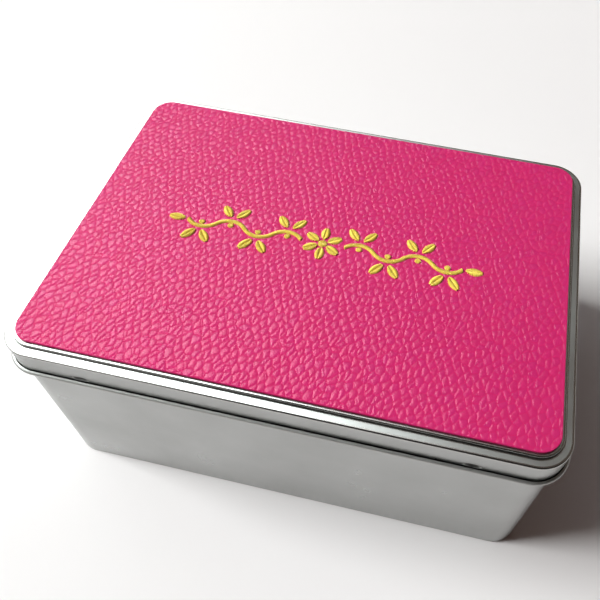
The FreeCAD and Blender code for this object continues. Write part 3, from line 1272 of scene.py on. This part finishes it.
@dataclass
class Embroidery:
    """Satin-stitch ornament: a flower between two leafy vines."""

    finish: ThreadFinish = ThreadFinish("yellow_thread")
    thread: float = 0.42 * MM
    pitch: float = 0.4 * MM
    rise: float = 0.36 * MM
    sink: float = 0.14 * MM
    gap: float = 0.35 * MM
    petals: int = 6
    petal_length: float = 6.2 * MM
    petal_width: float = 3.4 * MM
    button_radius: float = 1.7 * MM
    vine_width: float = 1.6 * MM
    vine_chord: float = 11.6 * MM
    vine_sway: float = 2.6 * MM
    vine_bends: int = 4
    leaf_length: float = 7.0 * MM
    leaf_width: float = 3.4 * MM
    leaf_angle: float = math.radians(52.0)
    leaf_lift: float = 0.25
    leaf_pair: float = 0.33
    berry_radius: float = 1.1 * MM
    slant: float = math.radians(62.0)
    leaf_slant: float = math.radians(48.0)
    shortest: float = 0.25 * MM
    midrib: float = 0.04 * MM
    blade_start: float = 0.6
    blade_edge: float = 0.45
    dot_edge: float = 0.55
    dot_swell: float = 0.45
    settling_steps: int = 12
    stitch_points: int = 7
    thread_sides: int = 6
    arch: float = 2.4
    shake: float = 0.05
    stretch: float = 0.07
    seed: int = 7

    def stitches(self) -> list[Stitch]:
        """Lay out every stitch of the ornament.

        Returns:
            The stitches: the flower's first, then the vines'.
        """
        laid = self._dot(self.button_radius)
        for index in range(self.petals):
            angle = math.tau / self.petals * (index + 0.5)
            reach = self.button_radius + self.gap
            for stitch in self._blade(self.petal_length, self.petal_width):
                laid.append(stitch.placed(0.0, reach, 0.0).placed(angle, 0.0, 0.0))
        vine = self._vine()
        return laid + vine + [stitch.mirrored() for stitch in vine]

    def _dot(self, radius: float) -> list[Stitch]:
        """Lay stitches side by side over a round dot.

        Args:
            radius: the dot's radius.

        Returns:
            The stitches, round the origin.
        """
        laid = []
        count = max(2, round(2 * radius / self.pitch))
        for index in range(count):
            across = radius * ((2 * index + 1) / count - 1)
            half = math.sqrt(radius * radius - across * across)
            rise = self.rise * (self.dot_edge + self.dot_swell * half / radius)
            laid.append(Stitch((across, -half), (across, half), rise))
        return laid

    @staticmethod
    def _edge(place: float, length: float, width: float) -> float:
        """Half the width of a blade.

        Args:
            place: distance from the blade's foot, which may lie past its ends.
            length: the blade's length.
            width: its greatest width.

        Returns:
            Half the width there.
        """
        radius = (length * length / 4 + width * width / 4) / width
        inside = max(radius * radius - (min(max(place, 0.0), length) - length / 2) ** 2, 0.0)
        return max(math.sqrt(inside) - radius + width / 2, 0.0)

    def _blade(self, length: float, width: float) -> list[Stitch]:
        """Lay two rows of slanted stitches that meet along the midrib of a blade.

        Args:
            length: the blade's length along +X, from the origin.
            width: its greatest width.

        Returns:
            The stitches.
        """
        laid = []
        step = self.pitch / math.sin(self.leaf_slant)
        lean = 1 / math.tan(self.leaf_slant)
        for index in range(round(length / step)):
            foot = (index - self.blade_start) * step
            tip = foot
            for _ in range(self.settling_steps):
                tip = foot + lean * self._edge(tip, length, width)
            half = self._edge(tip, length, width)
            if half < self.shortest:
                continue
            rise = self.rise * min(1.0, self.blade_edge + half / width)
            start = max(foot, 0.0)
            for side in (-1, 1):
                laid.append(Stitch((start, side * self.midrib), (tip, side * half), rise))
        return laid

    def _vine(self) -> list[Stitch]:
        """Lay the stem, the leaves and the berries to the right of the flower.

        Returns:
            The stitches.
        """
        start = self.button_radius + self.petal_length + 2 * self.gap
        clear = self.vine_width / 2 + self.gap
        leaf = self._blade(self.leaf_length, self.leaf_width)
        laid = []
        for index in range(self.vine_bends):
            side = 1 if index % 2 == 0 else -1
            foot = start + index * self.vine_chord
            crest = foot + self.vine_chord / 2
            laid += self._bend(foot, side)
            leaf_foot = side * (self.vine_sway + clear + self.leaf_width * self.leaf_lift)
            apart = self.leaf_width * self.leaf_pair
            for lean, shift in ((self.leaf_angle, apart), (math.pi - self.leaf_angle, -apart)):
                laid += [stitch.placed(side * lean, crest + shift, leaf_foot) for stitch in leaf]
            berry = side * (self.vine_sway - clear - self.berry_radius)
            laid += [stitch.placed(0.0, crest, berry) for stitch in self._dot(self.berry_radius)]
        end = start + self.vine_bends * self.vine_chord + self.gap + self.vine_width / 2
        return laid + [stitch.placed(0.0, end, 0.0) for stitch in leaf]

    def _bend(self, start: float, side: int) -> list[Stitch]:
        """Lay slanted stitches along one arched length of stem.

        Args:
            start: where it starts along +X.
            side: 1 where it arches away from the front, -1 where it arches towards it.

        Returns:
            The stitches.
        """
        chord, sway = self.vine_chord, self.vine_sway
        radius = (chord * chord / 4 + sway * sway) / (2 * sway)
        spread = math.asin(chord / (2 * radius))
        count = round(2 * spread * radius * math.sin(self.slant) / self.pitch)
        half = self.vine_width / 2
        skew = half / math.tan(self.slant) / radius
        laid = []
        for index in range(count):
            angle = spread * ((2 * index + 1) / count - 1)
            spots = []
            for way in (-1, 1):
                swing = angle + way * skew
                reach = radius + side * way * half
                spots.append((start + chord / 2 + reach * math.sin(swing),
                              side * (sway - radius + reach * math.cos(swing))))
            laid.append(Stitch(spots[0], spots[1], self.rise))
        return laid

    def build(self, level: float, effects: SharedEffects) -> list[Stitch]:
        """Sew the ornament onto the leather.

        Args:
            level: height of the leather's face.
            effects: the shared shader groups.

        Returns:
            The stitches, so that the leather can give way under them.
        """
        laid = self.stitches()
        spots = [((s.start[0] + s.end[0]) / 2, (s.start[1] + s.end[1]) / 2, level) for s in laid]
        ways = [(s.end[0] - s.start[0], s.end[1] - s.start[1]) for s in laid]
        piece = new_piece("thread_ornament", spots)
        store(piece, "turn", [math.atan2(v, u) for u, v in ways])
        store(piece, "span", [math.hypot(u, v) for u, v in ways])
        store(piece, "rise", [stitch.rise for stitch in laid])
        values = {"Thread": self.thread, "Sink": self.sink, "Seed": self.seed,
                  "Material": self.finish.material(effects)}
        self.stitch_tree().shape(piece, values)
        fit(piece, Body.LID, Slot.THREAD, "embroidery_thread")
        LOG.info("the ornament has %d stitches", len(laid))
        return laid

    def stitch_tree(self) -> PieceTree:
        """Build the tree that lays one arched thread on each point.

        Returns:
            The tree.
        """
        tree = PieceTree("satin_stitches")
        thread, sink, seed = tree.takes("Thread"), tree.takes("Sink"), tree.takes("Seed", "Int")
        toned = tree.kept(tree.start, "stitch_tone", tree.random(0.0, 1.0, seed))
        feeds = {"Count": self.stitch_points, "Start Location": (-0.5, 0.0, 0.0),
                 "Offset": (0.5, 0.0, 0.0)}
        straight = tree.place("GeometryNodeMeshLine", feeds, mode="END_POINTS")
        place = tree.place("GeometryNodeInputPosition").outputs[0]
        along = tree.place("ShaderNodeSeparateXYZ", {"Vector": place}).outputs[0]
        marked = tree.kept(straight.outputs[0], "along", along)
        turn = tree.maths("ADD", tree.carried("turn"), tree.random(-self.shake, self.shake, seed))
        swing = tree.place("FunctionNodeAxisAngleToRotation", {"Axis": (0.0, 0.0, 1.0), "Angle": turn})
        stretch = tree.random(1 - self.stretch, 1 + self.stretch, seed)
        span = tree.maths("MULTIPLY", tree.carried("span"), stretch)
        scale = tree.place("ShaderNodeCombineXYZ", {"X": span, "Y": 1.0, "Z": 1.0})
        feeds = {"Points": toned, "Instance": marked, "Rotation": swing.outputs[0],
                 "Scale": scale.outputs[0]}
        laid = tree.place("GeometryNodeInstanceOnPoints", feeds)
        real = tree.place("GeometryNodeRealizeInstances", {"Geometry": laid.outputs[0]})
        off_middle = tree.maths("MULTIPLY", tree.maths("ABSOLUTE", tree.carried("along")), 2.0)
        fall = tree.maths("SUBTRACT", 1.0, tree.maths("POWER", off_middle, self.arch))
        full = tree.maths("ADD", tree.carried("rise"), sink)
        lift = tree.maths("SUBTRACT", tree.maths("MULTIPLY", fall, full), sink)
        path = tree.place("GeometryNodeMeshToCurve", {"Mesh": tree.moved(real.outputs[0], Z=lift)})
        feeds = {"Resolution": self.thread_sides, "Radius": tree.maths("DIVIDE", thread, 2.0)}
        ring = tree.place("GeometryNodeCurvePrimitiveCircle", feeds)
        feeds = {"Curve": path.outputs[0], "Profile Curve": ring.outputs[0], "Fill Caps": True}
        tree.gives(tree.place("GeometryNodeCurveToMesh", feeds).outputs[0])
        return tree


@dataclass
class LeatherPanel:
    """Leather panel cut to the plateau's outline, with its grain in the mesh and in the finish."""

    corner_radius: float
    grain: PebbleGrain = PebbleGrain()
    spacing: float = 0.56 * MM
    edge_radius: float = 0.3 * MM
    edge_fade: float = 0.9 * MM
    grain_depth: float = 0.06 * MM
    grain_shoulder: float = 0.45
    stitch_pull: float = 0.14 * MM
    stitch_reach: float = 0.7 * MM
    stitch_smoothing: float = 0.7
    stitch_knots: int = 3
    stitched_half: float = 13 * MM
    edge_lines: tuple[float, ...] = (0.0, 0.06 * MM, 0.16 * MM, 0.32 * MM, 0.6 * MM)
    corner_lines: int = 25
    corner_depth: float = 2.2 * MM
    corner_end: float = 2.6 * MM
    crease: float = math.radians(60.0)

    def build(self, stitches: Sequence[Stitch], effects: SharedEffects) -> None:
        """Cut the panel, press its grain and let it give way under the stitches.

        Args:
            stitches: the stitches that pull it down.
            effects: the shared shader groups.
        """
        low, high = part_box("leather_panel")
        material = LeatherFinish("pink_leather", self.grain).material(effects)
        piece = self.cut(low, high, stitches)
        values = {"Grain Depth": self.grain_depth, "Stitch Pull": self.stitch_pull, "Material": material}
        self.grain_tree().shape(piece, values)
        piece.data.set_sharp_from_angle(angle=self.crease)
        fit(piece, Body.LID, Slot.LEATHER, "leather_panel")

    def cut(self, low: Vector, high: Vector, stitches: Sequence[Stitch]) -> bpy.types.Object:
        """Cut the plain panel with rounded corners and a softened upper edge.

        Args:
            low: lowest corner of the panel.
            high: highest corner of the panel.
            stitches: the stitches that pull it down.

        Returns:
            The panel, with how far the grain and the stitches shape each point.
        """
        x, y = self._grid(high)
        inside = self._inside(x, y, high)
        short = np.clip(self.edge_radius - inside, 0.0, self.edge_radius)
        drop = self.edge_radius - np.sqrt(self.edge_radius ** 2 - short ** 2)
        top = np.stack([x, y, high.z - drop], axis=2).reshape(-1, 3)
        count = len(top)
        index = np.arange(count).reshape(x.shape)
        quads = np.stack([index[:-1, :-1], index[:-1, 1:], index[1:, 1:], index[1:, :-1]], axis=2)
        rim = np.concatenate([index[0, :-1], index[:-1, -1], index[-1, :0:-1], index[:0:-1, 0]])
        foot = top[rim] * (1.0, 1.0, 0.0) + (0.0, 0.0, low.z)
        foot_index = np.arange(count, count + len(rim))
        sides = np.stack([rim, foot_index, np.roll(foot_index, -1), np.roll(rim, -1)], axis=1)
        faces = quads.reshape(-1, 4).tolist() + sides.tolist() + [foot_index[::-1].tolist()]
        piece = new_piece("leather_face", np.concatenate([top, foot]).tolist(), [], faces)
        fade = soft_step(inside.ravel(), 0.0, self.edge_fade)
        pulled = self._pulled(top, stitches)
        grained = fade * (1 - self.stitch_smoothing * pulled)
        marks = {"grained": (grained, 0.0), "pulled": (pulled, 0.0), "cut_edge": (np.zeros(count), 1.0)}
        for name, (on_face, on_foot) in marks.items():
            store(piece, name, np.concatenate([on_face, np.full(len(rim), on_foot)]))
        return piece

    def _grid(self, high: Vector) -> tuple[np.ndarray, np.ndarray]:
        """Lay a grid over the panel, whose rows end on the panel's outline.

        Args:
            high: highest corner of the panel.

        Returns:
            The grid's places along X and along Y.
        """
        rows = self._lines(high.y, self.corner_radius)
        shares = self._lines(high.x, 0.0) / high.x
        past = np.clip(np.abs(rows) - (high.y - self.corner_radius), 0.0, self.corner_radius)
        reach = high.x - self.corner_radius + np.sqrt(self.corner_radius ** 2 - past ** 2)
        return reach[:, None] * shares[None, :], np.repeat(rows[:, None], len(shares), axis=1)

    def _inside(self, x: np.ndarray, y: np.ndarray, high: Vector) -> np.ndarray:
        """How far each place lies inside the panel's outline.

        Args:
            x: the places along X.
            y: the places along Y.
            high: highest corner of the panel.

        Returns:
            The distances, never less than zero.
        """
        off_x = np.maximum(np.abs(x) - (high.x - self.corner_radius), 0.0)
        off_y = np.maximum(np.abs(y) - (high.y - self.corner_radius), 0.0)
        straight = np.minimum(high.x - np.abs(x), high.y - np.abs(y))
        rounded = self.corner_radius - np.hypot(off_x, off_y)
        return np.clip(np.where((off_x > 0) & (off_y > 0), rounded, straight), 0.0, None)

    def _lines(self, half: float, radius: float) -> np.ndarray:
        """Grid lines from one edge to the other, closer at the edges and round the corners.

        Args:
            half: half the panel's size.
            radius: the corner radius that the lines step round, or 0.

        Returns:
            The lines' places.
        """
        inset = np.array(self.edge_lines)
        if radius:
            angles = np.linspace(0.0, math.pi / 2, self.corner_lines)
            arc = radius * (1 - np.cos(angles))
            inset = np.concatenate([arc[arc < self.corner_depth], [self.corner_end]])
        count = round(2 * (half - inset[-1]) / self.spacing)
        middle = np.linspace(-half + inset[-1], half - inset[-1], count + 1)
        return np.concatenate([-half + inset[:-1], middle, half - inset[-2::-1]])

    def _pulled(self, places: np.ndarray, stitches: Sequence[Stitch]) -> np.ndarray:
        """How far each place is pulled down by the nearest stitch.

        Args:
            places: points, one to a row.
            stitches: the stitches.

        Returns:
            Shares from 0, far from any stitch, to 1 on one.
        """
        knots = self.stitch_knots
        tree = KDTree(knots * len(stitches))
        for number, stitch in enumerate(stitches):
            start, end = np.array(stitch.start), np.array(stitch.end)
            for step in range(knots):
                spot = start + (end - start) * step / (knots - 1)
                tree.insert((*spot, 0.0), knots * number + step)
        tree.balance()
        near = np.abs(places[:, 1]) < self.stitched_half
        result = np.zeros(len(places))
        for number in np.flatnonzero(near):
            distance = tree.find((places[number][0], places[number][1], 0.0))[2]
            result[number] = math.exp(-(distance / self.stitch_reach) ** 2)
        return result

    def grain_tree(self) -> PieceTree:
        """Build the tree that presses the grain into the panel.

        Returns:
            The tree.
        """
        tree = PieceTree("pebble_grain")
        place = tree.place("GeometryNodeInputPosition").outputs[0]
        height = self.grain.lay(tree, place, self.grain_shoulder)[0]
        depth = tree.maths("MULTIPLY", tree.maths("SUBTRACT", 1.0, height), tree.takes("Grain Depth"))
        pressed = tree.maths("MULTIPLY", depth, tree.carried("grained"))
        pulled = tree.maths("MULTIPLY", tree.carried("pulled"), tree.takes("Stitch Pull"))
        down = tree.maths("MULTIPLY", tree.maths("ADD", pressed, pulled), -1.0)
        tree.gives(tree.moved(tree.start, Z=down))
        return tree


@dataclass(frozen=True)
class Softbox:
    """A soft lamp that faces the tin."""

    name: str
    azimuth: float
    elevation: float
    distance: float
    width: float
    height: float
    power: float
    colour: Colour = (1.0, 1.0, 1.0)

    def build(self) -> None:
        """Hang the lamp in the studio, where only the room shines in the metal."""
        lamp = bpy.data.lights.new(self.name, "AREA")
        lamp.shape = "RECTANGLE"
        lamp.size = self.width
        lamp.size_y = self.height
        lamp.energy = self.power
        lamp.color = self.colour
        hung = bpy.data.objects.new(self.name, lamp)
        way = heading(self.azimuth, self.elevation)
        hung.location = way * self.distance
        hung.rotation_euler = way.to_track_quat("Z", "Y").to_euler()
        hung.visible_camera = False
        hung.visible_glossy = False
        bpy.context.scene.collection.objects.link(hung)


def heading(azimuth: float, elevation: float) -> Vector:
    """Direction from the tin, turned from +X towards +Y and raised, both in degrees."""
    turn, lift = math.radians(azimuth), math.radians(elevation)
    return Vector((math.cos(turn) * math.cos(lift), math.sin(turn) * math.cos(lift), math.sin(lift)))


@dataclass(frozen=True)
class RoomGlow:
    """A bright place in the room: its colour, its direction from the tin and how it fades out."""

    colour: Colour
    way: Spot
    fade: tuple[float, float]
    easing: Easing = Easing.SMOOTH

    def over(self, bench: NodeBench, way: Socket, room: Socket, seen: float | Socket = 1.0) -> Socket:
        """Add the glow to the room.

        Args:
            bench: the room's bench.
            way: the direction that is looked in.
            room: the room's colour without the glow.
            seen: how much of the glow is seen.

        Returns:
            The room's colour with the glow.
        """
        turned = bench.vectors("DOT_PRODUCT", way, self.way)
        near = bench.ranged(turned, *self.fade, easing=self.easing)
        return bench.tinted(bench.maths("MULTIPLY", near, seen), room, self.colour, Blend.LIGHTEN)


@dataclass
class Studio:
    """Pale table top, two soft lamps, a dim room with bright windows and the camera."""

    floor_finish: PlainFinish = PlainFinish(
        "pale_table", colour=(0.90, 0.90, 0.90), cloud_colour=(0.89, 0.89, 0.895),
        cloud_size=0.4, roughness=0.6)
    floor_half: float = 4.0
    key: Softbox = Softbox("key_window", 185.0, 37.0, 9.0, 4.2, 4.2, 1270.0, (1.0, 0.998, 0.99))
    panel: Softbox = Softbox("overhead_panel", 125.0, 52.0, 6.0, 7.5, 3.8, 38.0, (0.98, 0.99, 1.0))
    ambient: Colour = (0.06, 0.036, 0.03)
    ceiling: RoomGlow = RoomGlow((2.2, 2.22, 2.24), (-0.47, 0.42, 0.776), (0.8, 0.985), Easing.STRAIGHT)
    window: RoomGlow = RoomGlow((6.9, 7.9, 7.8), (-0.47, 0.42, 0.776), (0.93, 0.985))
    side_window: RoomGlow = RoomGlow((4.1, 4.6, 4.5), (-0.82, 0.1, 0.564), (0.82, 0.93))
    left_wall: Colour = (1.4, 1.4, 1.38)
    back_wall: Colour = (0.125, 0.098, 0.08)
    front_wall: Colour = (0.02, 0.018, 0.017)
    left_edge: tuple[float, float] = (-0.2, -0.6)
    back_edge: tuple[float, float] = (-0.3, 0.3)
    sill: tuple[float, float] = (0.3, 0.55)
    focal: float = 654.8
    frame_width: float = 600.0
    principal: tuple[float, float] = (365.3, 278.6)
    sensor: float = 36.0
    near_clip: float = 0.01
    camera_place: Spot = (0.0456, -0.1585, 0.2833)
    camera_turn: Spot = (10.01, 52.89, 2.99)

    def build(self, effects: SharedEffects) -> None:
        """Set the studio up round the tin.

        Args:
            effects: the shared shader groups.
        """
        scene = bpy.context.scene
        scene.view_settings.view_transform = "Standard"
        self._floor(effects)
        self._room(scene)
        for lamp in (self.key, self.panel):
            lamp.build()
        self._camera(scene)

    def _floor(self, effects: SharedEffects) -> None:
        """Lay the table top.

        Args:
            effects: the shared shader groups.
        """
        half = self.floor_half
        corners = [(-half, -half, 0.0), (half, -half, 0.0), (half, half, 0.0), (-half, half, 0.0)]
        floor = new_piece("table_top", corners, [], [(0, 1, 2, 3)])
        floor.data.materials.append(self.floor_finish.material(effects))

    def _room(self, scene: bpy.types.Scene) -> None:
        """Surround the tin with a dim room, whose windows and pale left wall shine in the metal.

        The left wall and the window in it are bright above a sill only. Matt surfaces get the
        plain ambient light instead of the room.

        Args:
            scene: the scene.
        """
        world = bpy.data.worlds.new("studio_room")
        world.use_nodes = True
        bench = NodeBench(world.node_tree)
        way = bench.place("ShaderNodeTexCoord").outputs["Generated"]
        x, y, z = bench.place("ShaderNodeSeparateXYZ", {"Vector": way}).outputs
        behind = bench.ranged(y, *self.back_edge)
        left = bench.ranged(x, *self.left_edge, easing=Easing.SMOOTH)
        above_sill = bench.ranged(z, *self.sill)
        room = bench.tinted(behind, self.front_wall, self.back_wall)
        room = bench.tinted(bench.maths("MULTIPLY", left, above_sill), room, self.left_wall)
        room = self.ceiling.over(bench, way, room)
        room = self.window.over(bench, way, room)
        room = self.side_window.over(bench, way, room, above_sill)
        path = bench.place("ShaderNodeLightPath").outputs
        mirrored = bench.maths("MAXIMUM", path["Is Glossy Ray"], path["Is Transmission Ray"])
        shown = bench.maths("MAXIMUM", path["Is Camera Ray"], mirrored)
        background = world.node_tree.nodes["Background"]
        bench.feed(background.inputs["Color"], bench.tinted(shown, self.ambient, room))
        scene.world = world

    def _camera(self, scene: bpy.types.Scene) -> None:
        """Stand the camera where the photograph was taken from.

        Args:
            scene: the scene.
        """
        lens = bpy.data.cameras.new("camera")
        lens.sensor_width = self.sensor
        lens.lens = self.focal / self.frame_width * lens.sensor_width
        lens.shift_x = 0.5 - self.principal[0] / self.frame_width
        lens.shift_y = self.principal[1] / self.frame_width - 0.5
        lens.clip_start = self.near_clip
        camera = bpy.data.objects.new("camera", lens)
        azimuth, elevation, roll = self.camera_turn
        back = heading(azimuth - 90.0, elevation)
        level = Vector((0.0, 0.0, 1.0)).cross(back).normalized()
        upward = back.cross(level)
        cos, sin = math.cos(math.radians(roll)), math.sin(math.radians(roll))
        right = level * cos + upward * sin
        up = upward * cos - level * sin
        turn = Matrix((right, up, back)).transposed()
        camera.matrix_world = Matrix.Translation(self.camera_place) @ turn.to_4x4()
        scene.collection.objects.link(camera)
        scene.camera = camera


def main() -> None:
    """Build the tin, the lid, the embroidered panel and the studio, in that order."""
    logging.basicConfig(level=logging.INFO, format="%(message)s")
    effects = SharedEffects()
    sizes = TinSizes.from_frame()
    former = SheetFormer()
    TinBody(sizes).build(former, effects)
    Lid(sizes).build(former, effects)
    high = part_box("leather_panel")[1]
    stitches = Embroidery().build(high.z, effects)
    inset = sizes.half_length - high.x
    LeatherPanel(sizes.corner_radius - inset).build(stitches, effects)
    Studio().build(effects)


if __name__ == "__main__":
    main()
